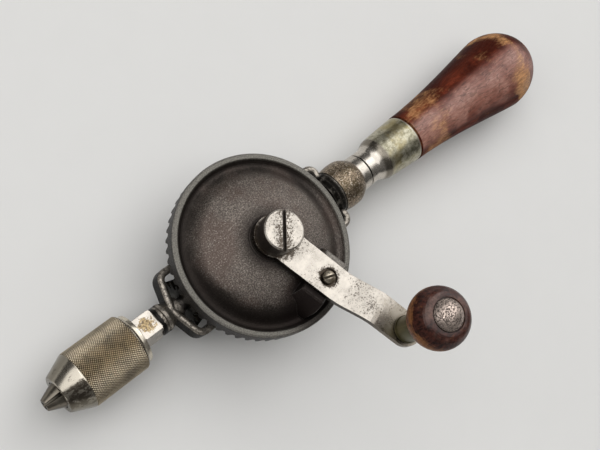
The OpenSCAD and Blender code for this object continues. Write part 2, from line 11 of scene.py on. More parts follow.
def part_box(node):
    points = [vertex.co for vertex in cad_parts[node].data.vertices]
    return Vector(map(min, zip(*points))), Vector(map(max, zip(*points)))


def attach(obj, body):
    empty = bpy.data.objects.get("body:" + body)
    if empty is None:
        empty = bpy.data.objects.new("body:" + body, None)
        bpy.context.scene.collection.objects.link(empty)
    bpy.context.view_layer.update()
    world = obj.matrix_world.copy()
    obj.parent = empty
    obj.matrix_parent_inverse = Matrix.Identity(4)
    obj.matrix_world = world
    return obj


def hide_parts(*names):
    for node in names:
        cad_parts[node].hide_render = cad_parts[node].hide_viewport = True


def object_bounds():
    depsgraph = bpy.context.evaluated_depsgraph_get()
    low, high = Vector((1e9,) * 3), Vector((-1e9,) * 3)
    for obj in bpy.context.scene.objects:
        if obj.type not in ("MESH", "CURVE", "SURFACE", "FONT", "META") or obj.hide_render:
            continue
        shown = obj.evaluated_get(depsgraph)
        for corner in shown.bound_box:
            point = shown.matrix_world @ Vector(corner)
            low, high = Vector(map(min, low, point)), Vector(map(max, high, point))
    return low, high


MM = 0.001

# Places on the CAD pieces that the finishes follow
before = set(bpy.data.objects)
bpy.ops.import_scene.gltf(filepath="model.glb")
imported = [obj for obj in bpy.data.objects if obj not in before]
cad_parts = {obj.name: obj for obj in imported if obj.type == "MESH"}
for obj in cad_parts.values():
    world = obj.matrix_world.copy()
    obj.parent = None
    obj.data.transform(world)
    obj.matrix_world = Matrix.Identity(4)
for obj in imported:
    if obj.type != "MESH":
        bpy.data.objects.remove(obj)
CAD_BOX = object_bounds()
SHELL_LOW, SHELL_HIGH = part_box("chuck_shell")
WHEEL_LOW, WHEEL_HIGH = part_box("main_gear")
FRAME_LOW, FRAME_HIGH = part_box("frame")
FERRULE_LOW, FERRULE_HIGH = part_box("ferrule")
KNOB_LOW, KNOB_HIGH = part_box("crank_knob")
DRIVE_LOW, DRIVE_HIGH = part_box("crank_screw")
HANDLE_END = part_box("handle")[1][0]
HUB_SCREW_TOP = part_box("hub_screw")[1][2]
CORE_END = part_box("chuck_body")[1][0]
WASHER_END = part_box("thrust_washer")[1][0]
KNOB_MID = (KNOB_LOW + KNOB_HIGH) / 2
DRIVE_MID = (DRIVE_LOW + DRIVE_HIGH) / 2
AXLE = ((WHEEL_LOW[0] + WHEEL_HIGH[0]) / 2, 0.0)
WHEEL_R = (WHEEL_HIGH[0] - WHEEL_LOW[0]) / 2
SEAT_Z = WHEEL_HIGH[2]
RIM_Z = SEAT_Z - 12.3 * MM
DISH_Z = SEAT_Z - 13.7 * MM
TEETH_Z = SEAT_Z - 15.2 * MM

bl_info = {
    "name": "Hand Drill Looks",
    "version": (1, 0, 0),
    "blender": (4, 5, 0),
    "location": "3D View > Sidebar > Hand Drill",
    "description": "Dresses an eggbeater hand drill with worn metal and wood finishes",
    "category": "Object",
}


def amount(name, description, value, **more):
    """A number property that stays at or above zero."""
    return FloatProperty(name=name, description=description, default=value, min=0.0, **more)


def length(name, description, millimetres):
    """A length property with its default given in millimetres."""
    return amount(name, description, millimetres * MM, unit="LENGTH", precision=5)


def colour(name, description, value):
    """A colour property."""
    return FloatVectorProperty(
        name=name, description=description, default=value, min=0.0, max=1.0, subtype="COLOR"
    )


class DrillSizes(PropertyGroup):
    """Sizes of the detail that is modelled over the CAD pieces."""

    knurl_count: IntProperty(
        name="Knurl count", description="Diamonds round the chuck shell", default=74, min=24, max=120
    )
    knurl_depth: length("Knurl depth", "Depth of the cut between two diamonds", 0.36)
    nose_radius: length("Nose radius", "Radius of the flat face at the front of the shell", 8.0)
    nose_length: length("Nose length", "Length of the plain nose ahead of the knurl", 8.88)
    rim_length: length("Rim length", "Length of the plain rim behind the knurl", 2.6)
    rim_step: length("Rim step", "Step from the knurl down to the rear rim", 1.5)
    bore_wall: length("Bore wall", "Wall between the knurl and the threaded bore", 2.05)
    mouth_radius: length("Mouth radius", "Radius of the opening in the nose", 5.73)


class DrillColours(PropertyGroup):
    """Colours of the worn finishes."""

    iron: colour("Wheel iron", "Brown-grey patina on the wheel", (0.15, 0.128, 0.112))
    rim: colour("Worn rim", "Rubbed iron on the wheel's rim", (0.15, 0.142, 0.125))
    black: colour("Frame black", "Old black finish on the cast frame", (0.007, 0.006, 0.005))
    bared: colour("Bared iron", "Iron that shows where the black has worn off", (0.4, 0.36, 0.31))
    nickel: colour("Nickel", "Bright nickel plate", (0.58, 0.535, 0.475))
    old_nickel: colour("Old nickel", "Yellowed nickel plate", (0.42, 0.34, 0.225))
    pit: colour("Pits", "Brown rust pits in the plate", (0.07, 0.045, 0.026))
    steel: colour("Steel", "Plain turned steel", (0.34, 0.32, 0.295))
    brown: colour("Browned steel", "Browned steel of the rear collar", (0.255, 0.198, 0.14))
    brass: colour("Olive brass", "Tarnished brass of the knob's ferrule", (0.07, 0.063, 0.026))
    varnish: colour("Varnish", "Red-brown varnish on the wood", (0.16, 0.033, 0.016))
    worn_wood: colour("Worn wood", "Orange wood where the varnish has worn through", (0.58, 0.3, 0.13))
    knob: colour("Knob varnish", "Dark varnish on the crank knob", (0.045, 0.014, 0.01))


class DrillStage(PropertyGroup):
    """Floor, lamps and camera."""

    floor: colour("Floor", "Pale floor", (0.74, 0.735, 0.72))
    lens: FloatProperty(name="Lens", description="Focal length on a 36 mm sensor", default=61.63, min=10.0)
    top_power: amount("Top power", "Power of the soft box overhead", 46.0, unit="POWER")
    front_power: amount("Front power", "Power of the soft box ahead of the chuck", 12.5, unit="POWER")
    back_power: amount("Back power", "Power of the soft box behind the handle", 18.8, unit="POWER")
    horizon: amount("Horizon level", "Level of the even light at the horizon", 0.08)
    zenith: amount("Zenith level", "Level of the even light overhead", 0.2)


# Modelling

WELD = 0.01 * MM
SHELL_SEGMENTS = 128
SMOOTH_ANGLE = math.radians(28)
SEAT_CONE = math.radians(24)
# Small steps where the shell's skin passes under the knurled sleeve
SKIN_DROP = 0.1 * MM
SKIN_LAP = 0.3 * MM
REAR_DROP = 0.5 * MM
REAR_GAP = 0.15 * MM
# Part of a column, so that the rounding to a column goes the same way all round
ROUND_SHIFT = 0.01

# Rounded edges of the chuck's shell, as millimetres along X and outwards from an edge's own place
NOSE_EDGE = ((0.0, -0.35), (0.1, -0.12), (0.3, 0.06))
SHOULDER_EDGE = ((-0.5, -0.3), (-0.2, -0.18), (0.1, -0.2))
RIM_EDGE = ((-1.9, 0.3), (-1.6, 0.02), (-0.5, 0.0), (-0.15, -0.12), (0.0, -0.3))


def deselect():
    """Leaves nothing selected, so that the next operator acts on its own piece alone."""
    if bpy.context.object and bpy.context.object.mode != "OBJECT":
        bpy.ops.object.mode_set(mode="OBJECT")
    bpy.ops.object.select_all(action="DESELECT")


def name_piece(name):
    """Names the piece that was just added and puts its place into its mesh."""
    piece = bpy.context.object
    piece.name = piece.data.name = name
    bpy.ops.object.transform_apply(location=True, rotation=True, scale=True)
    return piece


def turn(name, profile, segments):
    """Turns pairs of (distance along X, radius) into a skin, ring by ring, as on a lathe."""
    deselect()
    start, radius = profile[0]
    bpy.ops.mesh.primitive_circle_add(
        vertices=segments, radius=radius, fill_type="NOTHING",
        location=(start, 0, 0), rotation=(0, math.pi / 2, 0),
    )
    piece = name_piece(name)
    bpy.ops.object.mode_set(mode="EDIT")
    bpy.ops.mesh.select_all(action="SELECT")
    for (x0, r0), (x1, r1) in zip(profile, profile[1:]):
        bpy.ops.mesh.extrude_region_move(TRANSFORM_OT_translate={"value": (x1 - x0, 0, 0)})
        bpy.ops.transform.resize(value=(1, r1 / r0, r1 / r0), center_override=(x1, 0, 0))
    bpy.ops.mesh.select_all(action="SELECT")
    bpy.ops.mesh.remove_doubles(threshold=WELD)
    bpy.ops.mesh.normals_make_consistent(inside=False)
    bpy.ops.object.mode_set(mode="OBJECT")
    return piece


def select_parts(mode, parts, wanted):
    """Selects the vertices or edges that pass a test and leaves the piece in edit mode."""
    bpy.ops.object.mode_set(mode="EDIT")
    bpy.ops.mesh.select_mode(type=mode)
    bpy.ops.mesh.select_all(action="DESELECT")
    bpy.ops.object.mode_set(mode="OBJECT")
    for part in parts:
        part.select = wanted(part)
    bpy.ops.object.mode_set(mode="EDIT")


def knurled_sleeve(sizes, x0, x1, radius):
    """A sleeve of raised diamonds: every second point of a grid is drawn out from the sleeve's floor."""
    columns = 2 * sizes.knurl_count
    pitch = 2 * math.pi * radius / columns
    rows = 2 * round((x1 - x0) / pitch / 2)
    floor_r = radius - sizes.knurl_depth
    middle = ((x0 + x1) / 2, 0, 0)
    deselect()
    bpy.ops.mesh.primitive_cylinder_add(
        vertices=columns, radius=floor_r, depth=x1 - x0, end_fill_type="NOTHING",
        location=middle, rotation=(0, math.pi / 2, 0),
    )
    sleeve = name_piece("chuck_knurl")

    def is_lengthwise(edge):
        a, b = (sleeve.data.vertices[i].co for i in edge.vertices)
        return abs(a.x - b.x) > (x1 - x0) / 2

    def is_peak(vertex):
        x, y, z = vertex.co
        row = round((x - x0) / (x1 - x0) * rows)
        column = round(math.atan2(z, y) / (2 * math.pi) * columns - ROUND_SHIFT)
        return 0 < row < rows and (row + column) % 2 == 0

    select_parts("EDGE", sleeve.data.edges, is_lengthwise)
    bpy.ops.mesh.subdivide(number_cuts=rows - 1)
    select_parts("VERT", sleeve.data.vertices, is_peak)
    grow = radius / floor_r
    bpy.ops.transform.resize(value=(1, grow, grow), center_override=middle)
    bpy.ops.mesh.select_all(action="SELECT")
    bpy.ops.mesh.quads_convert_to_tris(quad_method="SHORTEST_DIAGONAL", ngon_method="BEAUTY")
    bpy.ops.mesh.normals_make_consistent(inside=False)
    bpy.ops.object.mode_set(mode="OBJECT")
    return sleeve


def rounded(x, radius, steps):
    """The profile points of a rounded edge."""
    return [(x + along_x * MM, radius + outward * MM) for along_x, outward in steps]


class DRILL_OT_chuck_shell(Operator):
    """Models the chuck's shell with a plain nose, a diamond knurl and a plain rear rim"""

    bl_idname = "drill.chuck_shell"
    bl_label = "Chuck shell"

    def execute(self, context):
        sizes = context.scene.drill_sizes
        nose, end, radius = SHELL_LOW[0], SHELL_HIGH[0], SHELL_HIGH[2]
        knurl0, knurl1 = nose + sizes.nose_length, end - sizes.rim_length
        floor_r = radius - sizes.knurl_depth - SKIN_DROP
        rim_r, bore_r = radius - sizes.rim_step, radius - sizes.bore_wall
        seat = nose + (bore_r - sizes.mouth_radius) / math.tan(SEAT_CONE)
        profile = [(nose, sizes.mouth_radius)]
        profile += rounded(nose, sizes.nose_radius, NOSE_EDGE)
        profile += rounded(knurl0, radius, SHOULDER_EDGE)
        profile += [(knurl0 + SKIN_LAP, floor_r), (knurl1 - SKIN_LAP, floor_r), (knurl1, radius - REAR_DROP)]
        profile += rounded(end, rim_r, RIM_EDGE)
        profile += [(end, bore_r), (seat, bore_r), (nose, sizes.mouth_radius)]
        shell = turn("chuck_shell_knurled", profile, SHELL_SEGMENTS)
        sleeve = knurled_sleeve(sizes, knurl0, knurl1 - REAR_GAP, radius)
        deselect()
        shell.select_set(True)
        context.view_layer.objects.active = shell
        bpy.ops.object.shade_smooth_by_angle(angle=SMOOTH_ANGLE)
        sleeve.select_set(True)
        bpy.ops.object.join()
        shell.data.materials.clear()
        shell.data.materials.append(chuck_plate(context.scene.drill_colours, sizes))
        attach(shell, "shell_body")
        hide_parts("chuck_shell")
        return {"FINISHED"}


# Shader building


def feed(socket, value):
    """Links a socket to another one, or sets it to a value or a colour."""
    if isinstance(value, NodeSocket):
        socket.id_data.links.new(value, socket)
    elif socket.type == "RGBA":
        socket.default_value = (*value, 1.0)
    else:
        socket.default_value = value


def add(tree, kind, settings=None, inputs=None):
    """Adds a node, with its settings and with its inputs set or linked."""
    node = tree.nodes.new(kind)
    for key, value in (settings or {}).items():
        setattr(node, key, value)
    for key, value in (inputs or {}).items():
        feed(node.inputs[key], value)
    return node


def tree_of(*values):
    """The node tree that the sockets among some values belong to."""
    return next(value.id_data for value in values if isinstance(value, NodeSocket))


def calc(operation, a, b=0.0):
    """One step of arithmetic."""
    return add(tree_of(a, b), "ShaderNodeMath", {"operation": operation}, {0: a, 1: b}).outputs[0]


def plus(first, *others):
    """Adds values up."""
    for other in others:
        first = calc("ADD", first, other)
    return first


def minus(a, b):
    """Takes one value from another."""
    return calc("SUBTRACT", a, b)


def times(first, *others):
    """Multiplies values together."""
    for other in others:
        first = calc("MULTIPLY", first, other)
    return first


def most(a, b):
    """The larger of two values."""
    return calc("MAXIMUM", a, b)


def size_of(value):
    """A value without its sign."""
    return calc("ABSOLUTE", value)


def hypotenuse(a, b):
    """The long side over two square ones."""
    return calc("SQRT", plus(times(a, a), times(b, b)))


def clamp(value):
    """Keeps a value from 0 to 1."""
    return add(value.id_data, "ShaderNodeClamp", None, {"Value": value}).outputs[0]


def ramp(value, low, high, to_low=0.0, to_high=1.0):
    """Carries a value smoothly from one range to another, clamped at both ends."""
    inputs = {"Value": value, "From Min": low, "From Max": high, "To Min": to_low, "To Max": to_high}
    smooth = {"interpolation_type": "SMOOTHSTEP"}
    return add(value.id_data, "ShaderNodeMapRange", smooth, inputs).outputs["Result"]


def step(value, origin, low, high, to_low=0.0, to_high=1.0):
    """A ramp whose range is given in millimetres from an origin."""
    return ramp(value, origin + low * MM, origin + high * MM, to_low, to_high)


def vector_math(operation, a, b, output="Value"):
    """One step of arithmetic on vectors."""
    return add(tree_of(a, b), "ShaderNodeVectorMath", {"operation": operation}, {0: a, 1: b}).outputs[output]


def stretch(vector, by):
    """Stretches a point's three parts."""
    return vector_math("MULTIPLY", vector, by, "Vector")


def mix(factor, a, b):
    """Blends two colours."""
    inputs = {0: factor, 6: a, 7: b}
    return add(tree_of(factor, a, b), "ShaderNodeMix", {"data_type": "RGBA"}, inputs).outputs[2]


def lay(body, mask, share, tone):
    """Lays a tone over a colour by a share of a mask."""
    return mix(times(mask, share), body, tone)


def shade(tone, factor):
    """A darker or lighter shade of a colour."""
    return tuple(min(1.0, factor * part) for part in tone)


def mottled(value, low, high, tone, dark, light):
    """A colour that goes from a dark to a light shade of itself with a value."""
    return mix(ramp(value, low, high), shade(tone, dark), shade(tone, light))


def noise(vector, scale, detail=4.0, roughness=0.55):
    """Fractal noise at a scale given per metre."""
    inputs = {"Vector": vector, "Scale": scale, "Detail": detail, "Roughness": roughness}
    return add(vector.id_data, "ShaderNodeTexNoise", None, inputs).outputs["Fac"]


def ragged(value, coords, spread, scale, detail=4.0, roughness=0.55):
    """A value that noise moves up and down, to break up an edge."""
    return plus(value, ramp(noise(coords, scale, detail, roughness), 0.3, 0.7, -spread, spread))


def group(name, inputs, outputs, output_kind="NodeSocketFloat"):
    """Starts a shader node group, or returns the finished one. An input without a number is a vector."""
    if name in bpy.data.node_groups:
        return bpy.data.node_groups[name], None, None
    tree = bpy.data.node_groups.new(name, "ShaderNodeTree")
    for label, default in inputs.items():
        kind = "NodeSocketFloat" if isinstance(default, float) else "NodeSocketVector"
        socket = tree.interface.new_socket(label, in_out="INPUT", socket_type=kind)
        if default is not None:
            socket.default_value = default
    for label in outputs:
        tree.interface.new_socket(label, in_out="OUTPUT", socket_type=output_kind)
    return tree, tree.nodes.new("NodeGroupInput").outputs, tree.nodes.new("NodeGroupOutput").inputs


def place(coords, shared, **inputs):
    """Places a shared group in the material that owns some coordinates."""
    node = add(coords.id_data, "ShaderNodeGroup", {"node_tree": shared}, inputs)
    if "Vector" in node.inputs:
        feed(node.inputs["Vector"], coords)
    return node.outputs


def edge_wear():
    """Mask of rubbed outer edges, broken up by noise."""
    tree, given, out = group("Edge wear", {"Vector": None, "Width": 0.6 * MM, "Gain": 6.0}, ["Mask"])
    if given:
        bevel = add(tree, "ShaderNodeBevel", {"samples": 6}, {"Radius": given["Width"]})
        plain = add(tree, "ShaderNodeNewGeometry")
        meet = vector_math("DOT_PRODUCT", bevel.outputs["Normal"], plain.outputs["Normal"])
        bend = times(minus(1.0, meet), given["Gain"])
        breakup = ramp(noise(given["Vector"], 520.0), 0.34, 0.62, 0.25, 1.0)
        feed(out["Mask"], clamp(times(bend, breakup)))
    return tree


def soft_edges():
    """Normal that rounds sharp edges a little."""
    tree, given, out = group("Soft edges", {"Radius": 0.3 * MM}, ["Normal"], "NodeSocketVector")
    if given:
        bevel = add(tree, "ShaderNodeBevel", {"samples": 4}, {"Radius": given["Radius"]})
        feed(out["Normal"], bevel.outputs["Normal"])
    return tree


def crevice_shade():
    """Mask of painted shade in corners and gaps, from ambient occlusion."""
    tree, given, out = group("Crevice", {"Distance": 2.0 * MM, "Gain": 1.6}, ["Mask"])
    if given:
        # Painted shade: the less open sky a point sees, the darker it is painted
        open_sky = add(tree, "ShaderNodeAmbientOcclusion", {"samples": 6}, {"Distance": given["Distance"]})
        shut = minus(1.0, open_sky.outputs["AO"])
        feed(out["Mask"], clamp(times(shut, given["Gain"])))
    return tree


def pitting():
    """Small dark pits in drifts, with a height for the bump."""
    tree, given, out = group("Pitting", {"Vector": None, "Scale": 2600.0, "Cover": 0.4}, ["Mask", "Height"])
    if given:
        fine = noise(given["Vector"], given["Scale"], 3.0, 0.7)
        drift = noise(given["Vector"], times(given["Scale"], 0.06), 4.0)
        amount = plus(fine, times(minus(drift, 0.5), 0.45), times(given["Cover"], 0.25))
        mask = ramp(amount, 0.78, 0.85)
        feed(out["Mask"], mask)
        feed(out["Height"], times(mask, -1.0))
    return tree


def turned_marks():
    """Fine rings left along X by the lathe, with drifts of stain."""
    tree, given, out = group("Turned marks", {"Vector": None, "Pitch": 0.4 * MM}, ["Rings", "Stain"])
    if given:
        rate = calc("DIVIDE", 1.0, given["Pitch"])
        feed(out["Rings"], noise(stretch(given["Vector"], (1.0, 0.02, 0.02)), rate, 2.0, 0.6))
        feed(out["Stain"], noise(given["Vector"], 160.0, 5.0, 0.6))
    return tree


def wood_grain():
    """Long fibres and pores, drawn out by a stretch, with drifts of colour."""
    inputs = {"Vector": None, "Stretch": (0.06, 1.0, 1.0)}
    tree, given, out = group("Wood grain", inputs, ["Fibre", "Pores", "Drift"])
    if given:
        drawn = stretch(given["Vector"], given["Stretch"])
        feed(out["Fibre"], noise(drawn, 900.0, 5.0, 0.65))
        feed(out["Pores"], ramp(noise(drawn, 2200.0, 2.0, 0.6), 0.56, 0.7))
        feed(out["Drift"], noise(given["Vector"], 70.0, 4.0, 0.6))
    return tree


def wear_mask(coords, width, gain):
    """Where the edges are rubbed, over a width in millimetres."""
    return place(coords, edge_wear(), Width=width * MM, Gain=gain)["Mask"]


def crevice_shade_mask(coords, distance, gain):
    """Painted shade in corners and gaps, up to a distance in millimetres."""
    return place(coords, crevice_shade(), Distance=distance * MM, Gain=gain)["Mask"]


def new_material(name):
    """An empty material with its Principled shader and its Object coordinates."""
    material = bpy.data.materials.new(name)
    material.use_nodes = True
    tree = material.node_tree
    tree.nodes.clear()
    shader = tree.nodes.new("ShaderNodeBsdfPrincipled")
    output = tree.nodes.new("ShaderNodeOutputMaterial")
    feed(output.inputs["Surface"], shader.outputs["BSDF"])
    return material, shader, tree.nodes.new("ShaderNodeTexCoord").outputs["Object"]


def parts_of(material):
    """A material's shader, its Object coordinates and its colour so far."""
    nodes = material.node_tree.nodes
    shader = next(n for n in nodes if n.type == "BSDF_PRINCIPLED")
    coords = next(n for n in nodes if n.type == "TEX_COORD").outputs["Object"]
    return shader, coords, shader.inputs["Base Color"].links[0].from_socket


def wire(shader, **values):
    """Sets or links the shader's own sockets."""
    for key, value in values.items():
        feed(shader.inputs[key.replace("_", " ")], value)


def bump(shader, height, depth, strength, edge=None):
    """Feeds a height to the shader's normal, over edges softened by a radius. Lengths are in millimetres."""
    tree = shader.id_data
    inputs = {"Height": height, "Distance": depth * MM, "Strength": strength}
    node = add(tree, "ShaderNodeBump", None, inputs)
    if edge:
        soft = add(tree, "ShaderNodeGroup", {"node_tree": soft_edges()}, {"Radius": edge * MM})
        feed(node.inputs["Normal"], soft.outputs["Normal"])
    feed(shader.inputs["Normal"], node.outputs["Normal"])


def axis_parts(coords):
    """The three parts of a point."""
    return add(coords.id_data, "ShaderNodeSeparateXYZ", None, {"Vector": coords}).outputs


def facing(coords, way):
    """How far a face looks one way: 1 straight along it, 0 square to it."""
    return vector_math("DOT_PRODUCT", coords.node.outputs["Normal"], way)


def facing_up(coords):
    """How far a face looks up: 1 on a level top, 0 on an upright side."""
    return facing(coords, (0.0, 0.0, 1.0))


def distance_from(coords, centre):
    """How far a point is from a fixed one."""
    return vector_math("DISTANCE", coords, centre)


def distance_from_spindle(coords):
    """How far a point is from the spindle's axis."""
    _, y, z = axis_parts(coords)
    return hypotenuse(y, z)


def flat_offset(coords, centre):
    """How far a point is from an upright axis, along X and along Y."""
    x, y, _ = axis_parts(coords)
    return minus(x, centre[0]), minus(y, centre[1])


def flat_distance(coords, centre):
    """How far a point is from an upright axis."""
    return hypotenuse(*flat_offset(coords, centre))


def flat_along(coords, centre, way):
    """How far a point lies from an upright axis along a level direction."""
    off_x, off_y = flat_offset(coords, centre)
    return plus(times(off_x, way[0]), times(off_y, way[1]))


# Finish of the wheel

WHEEL_CLOUD = (0.088, 0.06, 0.05)
WHEEL_FLECK = (0.38, 0.35, 0.305)
WHEEL_EDGE = (0.34, 0.325, 0.295)
WHEEL_CREVICE_SHADE = (0.011, 0.009, 0.008)
HUB_SOIL_AND_SHADE = (0.022, 0.018, 0.016)
GROOVE_SOIL_AND_SHADOW = (0.018, 0.014, 0.012)
GROOVE_DEEP_SOIL_AND_SHADOW = (0.008, 0.006, 0.005)
OIL_BLACK_AND_SHADE = (0.012, 0.01, 0.009)
RIM_BRINK_AND_HIGHLIGHT = (0.33, 0.31, 0.285)
TOOTH_GLINT = (0.3, 0.28, 0.25)
PAD_DULL = (0.1, 0.09, 0.08)
PAD_BRIGHT = (0.3, 0.275, 0.245)
PAD_SHADE = (0.016, 0.012, 0.011)
PAD_STRIP_SHADOW = (0.02, 0.014, 0.013)
# Level directions over the wheel, as the camera sees it: to the right, and down to the near side. The
# groove's painted shadow and soil follow them.
RIGHT_SIDE = (0.77, -0.64)
NEAR_SIDE = (-0.553, -0.833)


def wheel_soil_and_shade(coords, body, radius, height, cloud):
    """Painted shade and soil round the hub, and painted shadow and soil in the groove inside the rim, widest
    on the near side and thin on the right.
    """
    # Painted shade and soil round the hub
    body = mix(step(radius, 0, 17.0, 9.5, 0.0, 0.75), body, HUB_SOIL_AND_SHADE)
    near = flat_along(coords, AXLE, NEAR_SIDE)
    start = plus(
        step(near, 0, -4.0, 22.0, 28.0 * MM, 22.5 * MM),
        ramp(cloud, 0.35, 0.65, -1.5 * MM, 1.5 * MM),
    )
    # Painted shadow with soil in the groove, widest on the near side and thin on the right
    groove = times(
        ramp(minus(radius, start), 0.0, 6.0 * MM),
        step(radius, WHEEL_R, -2.3, -2.7),
        step(flat_along(coords, AXLE, RIGHT_SIDE), 0, 12.0, 30.0, 0.85, 0.3),
        step(height, DISH_Z, -0.5, 0.5),
    )
    body = mix(groove, body, GROOVE_SOIL_AND_SHADOW)
    bottom = times(step(radius, 0, 28.0, 30.5), step(radius, 0, 35.0, 33.0), groove)
    return lay(body, bottom, 0.6, GROOVE_DEEP_SOIL_AND_SHADOW)


def wheel_rim(colours, body, radius, height, grain, up, outer):
    """Rubbed rim with a bright brink, partly a painted highlight, and a dark outer face of painted shade."""
    rim = times(step(radius, WHEEL_R, -3.0, -2.3), step(height, RIM_Z, -0.6, 0.6))
    body = mix(rim, body, mottled(grain, 0.36, 0.64, colours.rim, 0.5, 1.5))
    # Painted shade on the upright outer face
    body = lay(body, outer, 0.95, OIL_BLACK_AND_SHADE)
    # Rubbed brink of the rim, partly a painted highlight on its top edge
    brink = times(step(radius, WHEEL_R, -0.7, -0.3), ramp(up, 0.5, 0.7))
    return lay(body, brink, ramp(grain, 0.36, 0.6, 0.3, 0.8), RIM_BRINK_AND_HIGHLIGHT)


def crank_pad(coords, body, radius, height, grain, up):
    """Machined pad under the crank strip, with painted shade on its flanks and on one side of the strip, and
    the strip's painted shadow on the wheel.
    """
    way = Vector((KNOB_MID[0] - AXLE[0], KNOB_MID[1] - AXLE[1])).normalized()
    past_hub = step(radius, 0, 14.0, 16.0)
    machined = times(step(height, SEAT_Z, -0.7, -0.2), past_hub)
    body = mix(machined, body, mix(ramp(grain, 0.36, 0.64), PAD_DULL, PAD_BRIGHT))
    inside_rim = step(radius, WHEEL_R, -3.0, -3.6)
    # Painted shade on the pad's flanks, and on the machined top along one side of the strip
    flank = times(ramp(up, 0.78, 0.55), past_hub, inside_rim)
    shaded = most(times(flank, 0.7), times(machined, 0.72))
    across = flat_along(coords, AXLE, (-way.y, way.x))
    body = lay(body, shaded, step(across, 0, 2.0, -2.0), PAD_SHADE)
    # Painted shadow of the strip, round a point beside it on the wheel
    out, aside = 27.0 * MM, 9.0 * MM
    foot = (AXLE[0] + out * way.x + aside * way.y, AXLE[1] + out * way.y - aside * way.x, 20.0 * MM)
    return mix(step(distance_from(coords, foot), 0, 16.0, 8.0, 0.0, 0.75), body, PAD_STRIP_SHADOW)


def wheel_iron(colours):
    """Brown-grey, grainy iron with soil and painted shadow in the groove, a rubbed rim, a crank pad, and
    dark oily teeth in painted shade with painted glints.
    """
    material, shader, coords = new_material("wheel_iron")
    radius, height = flat_distance(coords, AXLE), axis_parts(coords)[2]
    up = facing_up(coords)
    grain = noise(coords, 2000.0, 4.0, 0.75)
    cloud = noise(coords, 60.0, 5.0, 0.6)
    body = mottled(grain, 0.36, 0.66, colours.iron, 0.4, 1.6)
    body = mix(ramp(cloud, 0.42, 0.64, 0.0, 0.6), body, WHEEL_CLOUD)
    flecks = ramp(noise(coords, 2000.0, 2.0, 0.6), 0.59, 0.7)
    body = lay(body, flecks, 0.6, WHEEL_FLECK)
    body = wheel_soil_and_shade(coords, body, radius, height, cloud)
    # Upright outer face of the rim, which takes painted shade
    outer = times(step(radius, WHEEL_R, -1.0, -0.5), ramp(up, 0.6, 0.25))
    body = wheel_rim(colours, body, radius, height, grain, up, outer)
    body = crank_pad(coords, body, radius, height, grain, up)
    past_hub = step(radius, 0, 12.0, 18.0, 0.0, 0.7)
    body = lay(body, wear_mask(coords, 0.5, 2.6), past_hub, WHEEL_EDGE)
    teeth = step(height, TEETH_Z, 0.3, -0.3)
    # Dark oil on the teeth, with painted shade under the rim
    body = lay(body, teeth, 0.85, OIL_BLACK_AND_SHADE)
    # Painted shade in corners and gaps
    body = lay(body, crevice_shade_mask(coords, 3.0, 1.3), 0.75, WHEEL_CREVICE_SHADE)
    # Painted glints on the edges of the teeth
    tip_glints = wear_mask(coords, 0.35, 4.0)
    body = lay(body, times(tip_glints, teeth), 0.5, TOOTH_GLINT)
    dull = most(outer, times(teeth, minus(1.0, tip_glints)))
    wire(
        shader, Base_Color=body, Metallic=ramp(dull, 0.0, 1.0, 0.75, 0.1),
        Roughness=ramp(grain, 0.3, 0.75, 0.36, 0.5), Specular_IOR_Level=0.15,
    )
    bump(shader, plus(grain, times(cloud, 0.6)), 0.16, 0.8, 0.35)
    return material


# Finishes of the frame and the plain metal

FRAME_CREVICE_SHADE = (0.005, 0.004, 0.004)
STEEL_STAIN = (0.05, 0.038, 0.028)
STEEL_CREVICE_SHADE = (0.03, 0.024, 0.019)
OILED_IRON = (0.045, 0.039, 0.03)
OILED_STAIN = (0.012, 0.01, 0.008)
BRASS_STAIN = (0.07, 0.06, 0.025)
WASHER_IRON = (0.02, 0.019, 0.018)
WASHER_STAIN = (0.008, 0.007, 0.006)
WASHER_DULL = (0.07, 0.06, 0.05)
COLLAR_OLIVE = (0.1, 0.074, 0.038)
COLLAR_FLECK = (0.6, 0.56, 0.49)
COLLAR_EDGE = (0.5, 0.46, 0.39)
COLLAR_CREVICE_SHADE = (0.02, 0.015, 0.011)


def frame_black(colours):
    """Old black finish, rubbed through to grey iron at the edges, the nose and the rear shoulders, on upward
    faces only; the pale iron there also stands as painted highlights.
    """
    material, shader, coords = new_material("frame_black")
    x, y, _ = axis_parts(coords)
    front, rear = FRAME_LOW[0], FRAME_HIGH[0]
    grain = noise(coords, 1600.0, 4.0, 0.65)
    rubbed = ramp(noise(coords, 260.0, 6.0, 0.7), 0.5, 0.64, 0.0, 0.6)
    shoulder = times(step(x, rear, -10.6, -6.6), step(size_of(y), 0, 8.5, 10.0))
    nose = most(step(x, front, 11.1, 7.1), step(x, front, 16.6, 11.1, 0.0, 0.5))
    speckle = ramp(noise(coords, 900.0, 5.0, 0.75), 0.36, 0.6, 0.2, 1.0)
    spots = times(plus(shoulder, nose), speckle)
    bare = plus(wear_mask(coords, 1.3, 2.2), times(rubbed, 0.4), spots)
    # Bare iron only on upward faces, where it also stands as painted highlights along the top edges and on
    # the nose
    bare = clamp(times(bare, ramp(facing_up(coords), 0.05, 0.6)))
    body = mix(grain, shade(colours.black, 0.4), shade(colours.black, 1.6))
    body = mix(bare, body, colours.bared)
    # Painted shade in corners and gaps
    body = lay(body, crevice_shade_mask(coords, 3.0, 1.4), 0.85, FRAME_CREVICE_SHADE)
    wire(
        shader, Base_Color=body, Metallic=ramp(bare, 0.1, 0.8, 0.03, 0.95),
        Roughness=ramp(grain, 0.3, 0.7, 0.24, 0.4), Specular_IOR_Level=0.025,
    )
    bump(shader, grain, 0.12, 0.7, 0.6)
    return material


